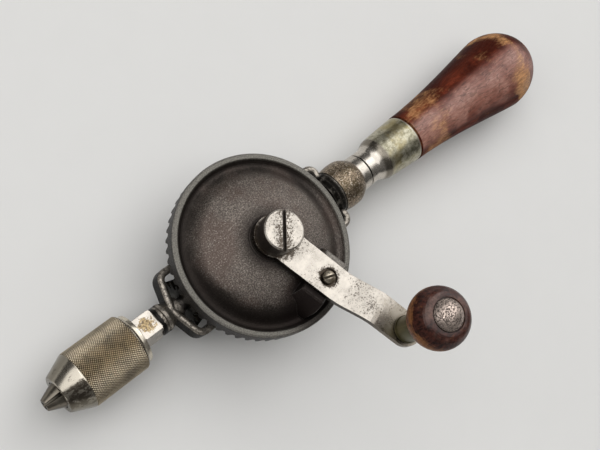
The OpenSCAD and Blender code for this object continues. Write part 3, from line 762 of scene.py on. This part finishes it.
def turned_steel(name, tone, roughness, pitch, stain=STEEL_STAIN, stain_share=0.5, cover=0.1):
    """Lathe-turned metal with fine rings at a pitch in millimetres, stains and a few pits."""
    material, shader, coords = new_material(name)
    marks = place(coords, turned_marks(), Pitch=pitch * MM)
    pits = place(coords, pitting(), Scale=1900.0, Cover=cover)
    body = mottled(marks["Rings"], 0.3, 0.7, tone, 0.78, 1.18)
    body = mix(ramp(marks["Stain"], 0.46, 0.72, 0.0, stain_share), body, stain)
    body = mix(pits["Mask"], body, shade(stain, 0.5))
    body = lay(body, wear_mask(coords, 0.35, 3.0), 0.5, shade(tone, 1.7))
    # Painted shade in corners and gaps
    body = lay(body, crevice_shade_mask(coords, 1.5, 1.2), 0.7, STEEL_CREVICE_SHADE)
    gloss = ramp(marks["Stain"], 0.35, 0.75, roughness, roughness + 0.2)
    wire(shader, Base_Color=body, Metallic=0.95, Roughness=gloss)
    bump(shader, plus(marks["Rings"], pits["Height"]), 0.03, 0.8, 0.25)
    return material


def washer_black(colours):
    """Blacked ring, worn to bare iron along its rear edge."""
    material = turned_steel("washer_black", WASHER_IRON, 0.28, 0.4, WASHER_STAIN)
    shader, coords, body = parts_of(material)
    x = ragged(axis_parts(coords)[0], coords, 0.25 * MM, 600.0)
    worn = times(step(x, WASHER_END, -1.4, -0.9), ramp(facing_up(coords), 0.1, 0.7))
    speckle = ramp(noise(coords, 900.0, 5.0, 0.75), 0.36, 0.6)
    bare = mix(speckle, WASHER_DULL, colours.bared)
    wire(shader, Base_Color=lay(body, worn, 0.85, bare))
    return material


def browned_collar(colours):
    """Browned steel with olive clouds, speckled all over with dark pits and light flecks."""
    material, shader, coords = new_material("browned_collar")
    speckle = noise(coords, 1500.0, 4.0, 0.75)
    cloud = noise(coords, 170.0, 5.0, 0.65)
    body = mottled(speckle, 0.4, 0.64, colours.brown, 0.25, 1.8)
    body = mix(ramp(cloud, 0.42, 0.62, 0.0, 0.75), body, COLLAR_OLIVE)
    flecks = ramp(noise(coords, 1500.0, 1.0, 0.5), 0.64, 0.71)
    body = lay(body, flecks, 0.75, COLLAR_FLECK)
    body = lay(body, wear_mask(coords, 0.4, 3.0), 0.6, COLLAR_EDGE)
    # Painted shade in corners and gaps
    body = lay(body, crevice_shade_mask(coords, 1.5, 1.2), 0.8, COLLAR_CREVICE_SHADE)
    wire(shader, Base_Color=body, Metallic=0.9, Roughness=ramp(speckle, 0.3, 0.7, 0.3, 0.46))
    bump(shader, speckle, 0.12, 0.7, 0.25)
    return material


# Finishes of the plated metal

PLATE_SIDE_SHADE = (0.035, 0.028, 0.022)
PLATE_CREVICE_SHADE = (0.03, 0.02, 0.013)
CRANK_STAIN_AND_SHADE = (0.2, 0.165, 0.115)
CRANK_RUST = (0.035, 0.024, 0.015)
BLOOM_DARK = (0.1, 0.062, 0.026)
BLOOM_PALE = (0.46, 0.335, 0.165)
DRIVE_STEEL = (0.5, 0.44, 0.35)
SLOT_SHADE = (0.02, 0.015, 0.01)
SCREW_SIDE_DARK = (0.025, 0.02, 0.017)
SCREW_SIDE_PALE = (0.12, 0.1, 0.083)
RIVET_STEEL = (0.62, 0.51, 0.445)
RIVET_PIT = (0.03, 0.02, 0.016)
JAW_STEEL = (0.24, 0.215, 0.175)
FERRULE_DULL = (0.2, 0.185, 0.125)
FERRULE_PALE = (0.56, 0.53, 0.41)
FERRULE_YELLOW = (0.36, 0.29, 0.125)
FERRULE_BAND = (0.09, 0.075, 0.05)
FERRULE_LIP = (0.55, 0.53, 0.44)
FERRULE_GAP = (0.02, 0.018, 0.015)
KNURL_CREST_AND_HIGHLIGHT = (0.9, 0.8, 0.64)
KNURL_CUT_AND_SHADE = (0.04, 0.03, 0.019)
KNURL_UNDER_SHADE = (0.1, 0.085, 0.058)
NOSE_PLATE = (0.52, 0.475, 0.4)
NOSE_SMOKE_AND_SHADE = (0.05, 0.036, 0.024)
NOSE_UNDER_SHADE = (0.15, 0.135, 0.105)
REAR_RIM = (0.72, 0.66, 0.55)
# Level directions across the slots of the two screws
HUB_SLOT_ACROSS = (0.771, -0.636)
DRIVE_SLOT_ACROSS = (0.339, 0.941)


def plated(name, plate, pit, cover, roughness, scale, edge=0.4, side_shade=0.0):
    """Plate with small brown pits, drifting gloss and brighter edges.

    The cover of pits is a number, or a function that gives it over the surface. The side shade darkens
    upright faces with painted shade.
    """
    material, shader, coords = new_material(name)
    share = cover(coords) if callable(cover) else cover
    pits = place(coords, pitting(), Scale=scale, Cover=share)
    haze = noise(coords, 240.0, 6.0, 0.65)
    body = mottled(haze, 0.3, 0.7, plate, 0.78, 1.12)
    body = lay(body, pits["Mask"], 0.85, pit)
    body = lay(body, wear_mask(coords, 0.4, 3.0), edge, shade(plate, 1.4))
    # Painted shade on upright faces
    if side_shade:
        body = mix(ramp(facing_up(coords), 0.7, 0.3, 0.0, side_shade), body, PLATE_SIDE_SHADE)
    # Painted shade in corners and gaps
    body = lay(body, crevice_shade_mask(coords, 1.5, 1.3), 0.85, PLATE_CREVICE_SHADE)
    gloss = plus(ramp(haze, 0.3, 0.72, roughness, roughness + 0.12), times(pits["Mask"], 0.3))
    wire(shader, Base_Color=body, Metallic=ramp(pits["Mask"], 0.0, 1.0, 1.0, 0.5), Roughness=gloss)
    bump(shader, plus(pits["Height"], times(haze, 0.3)), 0.05, 0.7, 0.25)
    return material


def crank_nickel(colours):
    """Plate on the crank strip with painted shade on its upright faces, rust round both screws, and a stain
    with painted shade towards the knob.
    """
    knob, drive = (Vector((spot.x, spot.y, DRIVE_HIGH.z)) for spot in (KNOB_MID, DRIVE_MID))

    def cover(coords):
        drift = distance_from(coords, knob.lerp(drive, 0.55))
        return step(drift, 0, 11.0, 3.0, 0.66, 0.9)

    material = plated("crank_nickel", colours.nickel, colours.pit, cover, 0.24, 1800.0, 0.3, 0.95)
    shader, coords, body = parts_of(material)
    # Yellow-brown stain with painted shade on the strip before its bend to the knob
    to_knob = ragged(distance_from(coords, knob), coords, 2.0 * MM, 300.0, 5.0, 0.7)
    body = mix(step(to_knob, 0, 18.0, 8.0, 0.0, 0.6), body, CRANK_STAIN_AND_SHADE)
    to_drive = ragged(flat_distance(coords, DRIVE_MID), coords, 0.9 * MM, 900.0, 4.0, 0.7)
    to_hub = ragged(flat_distance(coords, AXLE), coords, 2.2 * MM, 700.0, 5.0, 0.7)
    rust = most(step(to_drive, 0, 4.6, 3.8), step(to_hub, 0, 11.0, 8.6))
    wire(shader, Base_Color=lay(body, rust, 0.9, CRANK_RUST))
    return material


def square_nickel(colours):
    """Bright plate on the square collar, with a bloom of yellow corrosion in the middle of its top face."""
    material = plated("square_nickel", shade(colours.nickel, 1.2), colours.pit, 0.2, 0.2, 1800.0, 0.5, 0.4)
    shader, coords, body = parts_of(material)
    middle = (CORE_END - 4.7 * MM, 1.6 * MM, 4.6 * MM)
    reach = ragged(distance_from(coords, middle), coords, 1.6 * MM, 620.0, 5.0, 0.7)
    bloom = step(reach, 0, 3.4, 2.2, 0.0, 0.92)
    stain = mix(ramp(noise(coords, 1300.0, 4.0, 0.7), 0.38, 0.6), BLOOM_DARK, BLOOM_PALE)
    wire(shader, Base_Color=mix(bloom, body, stain))
    return material


def drive_screw_steel(colours):
    """Worn screw head with painted shade in its slot."""
    material = plated("drive_screw_steel", DRIVE_STEEL, colours.pit, 0.3, 0.26, 2200.0)
    shader, coords, body = parts_of(material)
    # Painted shade in the slot
    off_slot = size_of(flat_along(coords, DRIVE_MID, DRIVE_SLOT_ACROSS))
    height, top = axis_parts(coords)[2], DRIVE_HIGH[2]
    slot = times(step(off_slot, 0, 0.52, 0.42), step(height, top, -0.1, -0.35))
    wire(shader, Base_Color=lay(body, slot, 0.9, SLOT_SHADE))
    return material


def hub_screw_steel(colours):
    """Bright worn top with pits along its slot, over a dark side that is tarnish and painted shade."""

    def cover(coords):
        off_slot = size_of(flat_along(coords, AXLE, HUB_SLOT_ACROSS))
        return step(off_slot, 0, 6.0, 0.8, 0.8, 1.35)

    material = plated("hub_screw_steel", colours.nickel, colours.pit, cover, 0.26, 1700.0)
    shader, coords, body = parts_of(material)
    height = axis_parts(coords)[2]
    bright = step(height, HUB_SCREW_TOP, -1.0, -0.5)
    # Tarnish and painted shade on the side below the top
    side = mix(noise(coords, 380.0), SCREW_SIDE_DARK, SCREW_SIDE_PALE)
    wire(shader, Base_Color=mix(bright, side, body))
    return material


def ferrule_nickel(colours):
    """Bright plate at the neck that turns dull, yellow and mottled towards the wood."""
    material, shader, coords = new_material("ferrule_nickel")
    x, start, end = axis_parts(coords)[0], FERRULE_LOW[0], FERRULE_HIGH[0]
    marks = place(coords, turned_marks(), Pitch=0.5 * MM)
    pits = place(coords, pitting(), Scale=1700.0, Cover=0.62)
    mottle = noise(coords, 420.0, 7.0, 0.78)
    old = mix(ramp(mottle, 0.36, 0.64), FERRULE_DULL, FERRULE_PALE)
    old = mix(ramp(noise(coords, 110.0), 0.48, 0.66, 0.0, 0.6), old, FERRULE_YELLOW)
    neck = step(x, start, 9.4, 11.4)
    body = mix(neck, colours.nickel, old)
    band = times(step(x, start, 6.6, 8.2), step(x, start, 11.6, 10.0))
    body = lay(body, band, 0.75, FERRULE_BAND)
    body = lay(body, pits["Mask"], 0.7, colours.pit)
    body = lay(body, step(x, end, -1.3, -0.8), 0.6, FERRULE_LIP)
    gap = step(x, start, 0.5, 0.2)
    inside = step(distance_from_spindle(coords), 0, 7.8, 7.4)
    body = mix(clamp(plus(gap, inside)), body, FERRULE_GAP)
    gloss = plus(ramp(neck, 0.0, 1.0, 0.2, 0.3), ramp(mottle, 0.4, 0.7, 0.0, 0.14))
    wire(shader, Base_Color=body, Metallic=1.0, Roughness=gloss)
    bump(shader, plus(marks["Rings"], pits["Height"]), 0.02, 0.8, 0.2)
    return material


def chuck_plate(colours, sizes):
    """Yellowed plate on the knurl with worn crests and dark cuts, partly painted highlight and shade, and a
    brighter plain nose and rim; painted shade on the lower side and on one flank of the nose.
    """
    material, shader, coords = new_material("chuck_plate")
    x, y, z = axis_parts(coords)
    radius, top = distance_from_spindle(coords), SHELL_HIGH[2]
    lift = calc("DIVIDE", z, radius)
    nose_end, knurl_end = SHELL_LOW[0] + sizes.nose_length, SHELL_HIGH[0] - sizes.rim_length
    knurl = times(step(x, nose_end, -0.1, 0.2), step(x, knurl_end, 0.1, -0.3))
    stain = noise(coords, 210.0, 5.0, 0.62)
    body = mottled(stain, 0.38, 0.68, colours.old_nickel, 1.45, 0.5)
    crest = ramp(radius, top - sizes.knurl_depth, top - 0.02 * MM)
    # Worn crests with a painted highlight
    body = lay(body, crest, 0.72, KNURL_CREST_AND_HIGHLIGHT)
    # Dirt and painted shade in the cuts
    body = mix(ramp(crest, 0.4, 0.05, 0.0, 0.88), body, KNURL_CUT_AND_SHADE)
    # Painted shade on the lower side of the knurl
    body = mix(ramp(lift, 0.6, 0.0, 0.0, 0.55), body, KNURL_UNDER_SHADE)
    pits = place(coords, pitting(), Scale=1800.0, Cover=0.35)
    plain = lay(NOSE_PLATE, pits["Mask"], 0.8, colours.pit)
    # Smoky tarnish streaks with painted shade, heaviest on the -Y flank
    dim = times(step(y, 0, 1.5, -1.5), step(y, 0, -9.0, -6.0, 0.45, 1.0))
    streak = noise(stretch(coords, (0.5, 1.0, 1.0)), 380.0, 7.0, 0.78)
    smoke_and_shade = plus(ramp(streak, 0.3, 0.7, 0.18, 0.82), ramp(dim, 0.0, 1.0, -0.16, 0.12))
    smoke_and_shade = ramp(smoke_and_shade, 0.47, 0.6, 0.0, 0.88)
    plain = mix(smoke_and_shade, plain, NOSE_SMOKE_AND_SHADE)
    # Painted shade on the nose away from its top
    plain = mix(ramp(lift, 0.93, 0.58, 0.0, 0.8), plain, NOSE_UNDER_SHADE)
    plain = mix(step(x, knurl_end, -0.3, 0.3, 0.0, 0.8), plain, REAR_RIM)
    gloss = ramp(smoke_and_shade, 0.0, 0.8, 0.2, 0.32)
    gloss = plus(gloss, times(knurl, minus(0.4, gloss)))
    wire(shader, Base_Color=mix(knurl, plain, body), Metallic=1.0, Roughness=gloss)
    bump(shader, pits["Height"], 0.05, 0.6)
    return material


# Finishes of the wood

HANDLE_SOIL_AND_SHADE = (0.024, 0.0045, 0.003)
HANDLE_SCUFF_AND_SHEEN = (0.42, 0.225, 0.175)
HANDLE_SCRATCH = (0.06, 0.016, 0.01)
HANDLE_PORE = (0.03, 0.009, 0.005)
KNOB_SCUFF_AND_SHEEN = (0.21, 0.125, 0.1)
KNOB_WORN = (0.27, 0.115, 0.045)
KNOB_PORE = (0.012, 0.005, 0.004)
KNOB_CREVICE_SHADE = (0.008, 0.004, 0.003)
# The way that the handle's palest line looks, where its painted sheen lies and away from which its painted
# shade grows
HANDLE_TOP = (0.0, -0.3, 0.954)


def handle_wear(coords, above, scratch):
    """Where the varnish is worn through: patches near the ferrule and a broken ring round the belly."""
    x, front_x, belly = axis_parts(coords)[0], FERRULE_HIGH[0], HANDLE_END - 18.5 * MM
    front = times(
        step(x, front_x, 26.0, 12.0),
        step(x, front_x, 1.0, 8.0, 0.25, 1.0),
        ramp(above, 0.9, 0.62, 0.28, 0.54),
    )
    wander = ragged(x, coords, 4.0 * MM, 48.0, 2.0, 0.5)
    ring = times(
        step(wander, belly, -8.0, -0.5),
        step(wander, belly, 7.0, 0.5, 0.0, 0.62),
        ramp(facing_up(coords), -0.2, 0.45, 0.3, 1.0),
    )
    patches = ramp(noise(coords, 95.0, 4.0, 0.6), 0.25, 0.75, -0.3, 0.3)
    rub = plus(most(front, ring), patches, ramp(scratch, 0.3, 0.7, -0.09, 0.09))
    return ramp(rub, 0.14, 0.78)


def handle_wood(colours):
    """Red-brown varnish with painted shade on the flanks, scuffs with a painted sheen on top, and worn to
    orange at both ends.
    """
    material, shader, coords = new_material("handle_wood")
    grain = place(coords, wood_grain())
    above = facing(coords, HANDLE_TOP)
    body = mottled(grain["Fibre"], 0.34, 0.66, colours.varnish, 0.72, 1.2)
    lit = ragged(above, coords, 0.08, 90.0, 2.0, 0.5)
    # Painted shade on the flanks away from the pale line, with patches of soil
    soiled_and_shaded = times(ramp(grain["Drift"], 0.38, 0.56, 0.0, 0.8), ramp(lit, 0.92, 0.7))
    soiled_and_shaded = most(soiled_and_shaded, ramp(lit, 0.8, 0.1, 0.0, 0.9))
    body = mix(soiled_and_shaded, body, HANDLE_SOIL_AND_SHADE)
    scuff = stretch(coords, (0.3, 1.0, 1.0))
    scratch = noise(scuff, 1050.0, 5.0, 0.8)
    # Scuffs with a painted sheen along the top
    haze = times(ramp(lit, 0.76, 1.04), ramp(scratch, 0.36, 0.64, 0.5, 1.0))
    body = mix(haze, body, HANDLE_SCUFF_AND_SHEEN)
    line = size_of(minus(noise(scuff, 420.0, 2.0, 0.6), 0.5))
    line = times(ramp(line, 0.05, 0.015), ramp(scratch, 0.4, 0.6))
    body = lay(body, line, 0.7, HANDLE_SCRATCH)
    bare = mottled(scratch, 0.36, 0.64, colours.worn_wood, 0.55, 1.2)
    body = lay(body, handle_wear(coords, above, scratch), 0.85, bare)
    body = lay(body, grain["Pores"], 0.35, HANDLE_PORE)
    wire(
        shader, Base_Color=body, Roughness=ramp(scratch, 0.35, 0.7, 0.36, 0.54),
        Specular_IOR_Level=0.02, Coat_Roughness=0.36, Coat_IOR=1.6,
        Coat_Weight=ramp(above, 0.66, 0.95, 0.0, 0.75),
    )
    bump(shader, minus(scratch, grain["Pores"]), 0.08, 0.7)
    return material


def knob_wood(colours):
    """Dark varnish on the turned knob, scuffed with a painted sheen on top and worn to orange round its
    widest place.
    """
    material, shader, coords = new_material("knob_wood")
    grain = place(coords, wood_grain(), Stretch=(1.0, 1.0, 0.12))
    above, height = facing_up(coords), axis_parts(coords)[2]
    low, tall = KNOB_LOW[2], KNOB_HIGH[2] - KNOB_LOW[2]
    body = mottled(grain["Fibre"], 0.34, 0.66, colours.knob, 0.32, 1.5)
    scratch = noise(coords, 1100.0, 5.0, 0.75)
    drift = noise(coords, 105.0, 3.0, 0.6)
    # Scuffs with a painted sheen on top
    haze = times(
        ramp(above, 0.5, 1.0),
        ramp(drift, 0.43, 0.62, 0.02, 0.72),
        ramp(scratch, 0.36, 0.62, 0.5, 1.0),
    )
    body = mix(haze, body, KNOB_SCUFF_AND_SHEEN)
    waist = times(
        ramp(above, 0.42, 0.02, 0.0, 0.24),
        ramp(height, low + 0.4 * tall, low + 0.75 * tall, 0.4, 1.0),
    )
    rub = plus(noise(coords, 190.0, 7.0, 0.74), waist)
    body = mix(ramp(rub, 0.58, 0.8, 0.0, 0.85), body, KNOB_WORN)
    body = lay(body, grain["Pores"], 0.4, KNOB_PORE)
    # Painted shade in corners and gaps
    body = lay(body, crevice_shade_mask(coords, 2.0, 1.2), 0.7, KNOB_CREVICE_SHADE)
    wire(
        shader, Base_Color=body, Roughness=ramp(scratch, 0.35, 0.7, 0.3, 0.5),
        Specular_IOR_Level=0.05, Coat_Roughness=0.26, Coat_Weight=ramp(above, 0.3, 0.8, 0.0, 0.6),
    )
    bump(shader, scratch, 0.1, 0.6)
    return material


# Finished pieces

INNER_STEEL = ("tang", "spindle", "pinion_pin", "jaw_carrier", "jaw_springs")
AXLE_STEEL = ("main_axle", "gear_washer", "axle_washer", "axle_nut")


def dress(material, *nodes):
    """Gives CAD nodes a material in all their slots."""
    for name in nodes:
        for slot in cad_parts[name].material_slots:
            slot.material = material


class DRILL_OT_iron_pieces(Operator):
    """Finishes the cast wheel, the frame, the pinion and the black ring ahead of the frame"""

    bl_idname = "drill.iron_pieces"
    bl_label = "Iron pieces"

    def execute(self, context):
        colours = context.scene.drill_colours
        dress(wheel_iron(colours), "main_gear")
        dress(frame_black(colours), "frame")
        dress(turned_steel("oiled_teeth", OILED_IRON, 0.3, 0.6, OILED_STAIN, 0.7), "pinion")
        dress(washer_black(colours), "thrust_washer")
        return {"FINISHED"}


class DRILL_OT_bright_pieces(Operator):
    """Finishes the plated crank, screws, chuck core, jaws, handle fittings and plain steel"""

    bl_idname = "drill.bright_pieces"
    bl_label = "Bright pieces"

    def execute(self, context):
        colours = context.scene.drill_colours
        pit = colours.pit
        dress(crank_nickel(colours), "crank_arm")
        dress(hub_screw_steel(colours), "hub_screw")
        dress(square_nickel(colours), "chuck_body")
        dress(plated("neck_nickel", colours.nickel, pit, 0.3, 0.22, 1800.0), "neck_ring")
        dress(plated("rivet_steel", RIVET_STEEL, RIVET_PIT, 1.14, 0.27, 1400.0), "knob_rivet")
        dress(drive_screw_steel(colours), "crank_screw")
        dress(plated("jaw_steel", JAW_STEEL, pit, 0.45, 0.26, 1700.0, 0.4, 0.65), "jaw_1", "jaw_2", "jaw_3")
        dress(ferrule_nickel(colours), "ferrule")
        dress(browned_collar(colours), "rear_collar")
        dress(turned_steel("plain_steel", colours.steel, 0.26, 0.4), *INNER_STEEL, *AXLE_STEEL)
        dress(turned_steel("olive_brass", colours.brass, 0.3, 0.5, BRASS_STAIN, 0.6, 0.3), "knob_ferrule")
        return {"FINISHED"}


class DRILL_OT_wooden_pieces(Operator):
    """Finishes the turned handle and the crank knob"""

    bl_idname = "drill.wooden_pieces"
    bl_label = "Wooden pieces"

    def execute(self, context):
        colours = context.scene.drill_colours
        dress(handle_wood(colours), "handle")
        dress(knob_wood(colours), "crank_knob")
        return {"FINISHED"}


# Stage

FLOOR_SIZE = 20.0
WARM_WHITE = (1.0, 0.985, 0.96, 1.0)
SENSOR_WIDTH = 36.0
CLIP_START = 0.01
# The camera's place and its right, up and backward directions in the drill's frame
CAMERA_PLACE = Vector((-0.066407, 0.006304, 0.386633))
CAMERA_RIGHT = Vector((0.715408, -0.590117, 0.374102))
CAMERA_UP = Vector((0.535184, 0.807027, 0.249573))
CAMERA_BACK = Vector((-0.449188, 0.021667, 0.893175))
# Each lamp's name, the way from the drill to it, its distance, its size and its power setting
LAMPS = (
    ("top_lamp", (0.15, 0.2, 0.97), 2.25, 3.25, "top_power"),
    ("back_lamp", (0.85, 0.1, 0.5), 2.5, 2.25, "back_power"),
    ("front_lamp", (-0.6, 0.32, 0.73), 2.25, 1.75, "front_power"),
)


def soft_box(name, way, distance, size, energy, target):
    """A square lamp at a distance along a direction, facing the drill."""
    lamp = bpy.data.lights.new(name, "AREA")
    lamp.shape = "SQUARE"
    lamp.size = size
    lamp.energy = energy
    body = bpy.data.objects.new(name, lamp)
    way = Vector(way).normalized()
    body.location = target + way * distance
    body.rotation_euler = way.to_track_quat("Z", "Y").to_euler()
    bpy.context.scene.collection.objects.link(body)


def pale_floor(pale):
    """Plain pale floor with a faint cloud."""
    material, shader, coords = new_material("pale_floor")
    cloud = noise(coords, 60.0, 4.0)
    wire(shader, Base_Color=mix(cloud, shade(pale, 0.97), pale), Roughness=0.85)
    return material


def even_light(horizon, zenith):
    """World light that grows from the horizon to the zenith."""
    world = bpy.data.worlds.new("even_light")
    world.use_nodes = True
    sky = world.node_tree
    up = axis_parts(sky.nodes.new("ShaderNodeTexCoord").outputs["Generated"])[2]
    background = sky.nodes["Background"].inputs
    background["Color"].default_value = WARM_WHITE
    feed(background["Strength"], ramp(up, 0.0, 0.9, horizon, zenith))
    return world


class DRILL_OT_stage(Operator):
    """Adds the floor, the lamps, the even world light and the camera"""

    bl_idname = "drill.stage"
    bl_label = "Stage"

    def execute(self, context):
        stage, scene = context.scene.drill_stage, context.scene
        low, high = (Vector(corner) for corner in CAD_BOX)
        target = (low + high) / 2
        deselect()
        bpy.ops.mesh.primitive_plane_add(size=FLOOR_SIZE, location=(target.x, target.y, low.z))
        floor = context.object
        floor.name = "floor"
        floor.data.materials.append(pale_floor(stage.floor))
        for name, way, distance, size, setting in LAMPS:
            soft_box(name, way, distance, size, getattr(stage, setting), target)
        scene.world = even_light(stage.horizon, stage.zenith)
        lens = bpy.data.cameras.new("camera")
        lens.sensor_width = SENSOR_WIDTH
        lens.lens = stage.lens
        lens.clip_start = CLIP_START
        camera = bpy.data.objects.new("camera", lens)
        turned = Matrix((CAMERA_RIGHT, CAMERA_UP, CAMERA_BACK)).transposed()
        camera.matrix_world = Matrix.Translation(CAMERA_PLACE) @ turned.to_4x4()
        scene.collection.objects.link(camera)
        scene.camera = camera
        scene.view_settings.view_transform = "Standard"
        return {"FINISHED"}


class DRILL_PT_looks(Panel):
    """Lists the drill's pieces and their sizes and colours"""

    bl_idname = "DRILL_PT_looks"
    bl_label = "Hand Drill"
    bl_space_type = "VIEW_3D"
    bl_region_type = "UI"
    bl_category = "Hand Drill"

    def draw(self, context):
        for operator in OPERATORS:
            self.layout.operator(operator.bl_idname)
        for settings in (context.scene.drill_sizes, context.scene.drill_colours, context.scene.drill_stage):
            box = self.layout.box()
            for key in settings.__annotations__:
                box.prop(settings, key)


OPERATORS = (
    DRILL_OT_chuck_shell, DRILL_OT_iron_pieces, DRILL_OT_bright_pieces, DRILL_OT_wooden_pieces,
    DRILL_OT_stage,
)
CLASSES = (DrillSizes, DrillColours, DrillStage, *OPERATORS, DRILL_PT_looks)


def register():
    """Registers the classes and hangs the settings on the scene."""
    for cls in CLASSES:
        bpy.utils.register_class(cls)
    bpy.types.Scene.drill_sizes = PointerProperty(type=DrillSizes)
    bpy.types.Scene.drill_colours = PointerProperty(type=DrillColours)
    bpy.types.Scene.drill_stage = PointerProperty(type=DrillStage)


def unregister():
    """Takes the settings and the classes away again."""
    del bpy.types.Scene.drill_stage
    del bpy.types.Scene.drill_colours
    del bpy.types.Scene.drill_sizes
    for cls in reversed(CLASSES):
        bpy.utils.unregister_class(cls)


def main():
    """Builds the whole scene."""
    register()
    bpy.ops.drill.chuck_shell()
    bpy.ops.drill.iron_pieces()
    bpy.ops.drill.bright_pieces()
    bpy.ops.drill.wooden_pieces()
    bpy.ops.drill.stage()


if __name__ == "__main__":
    main()
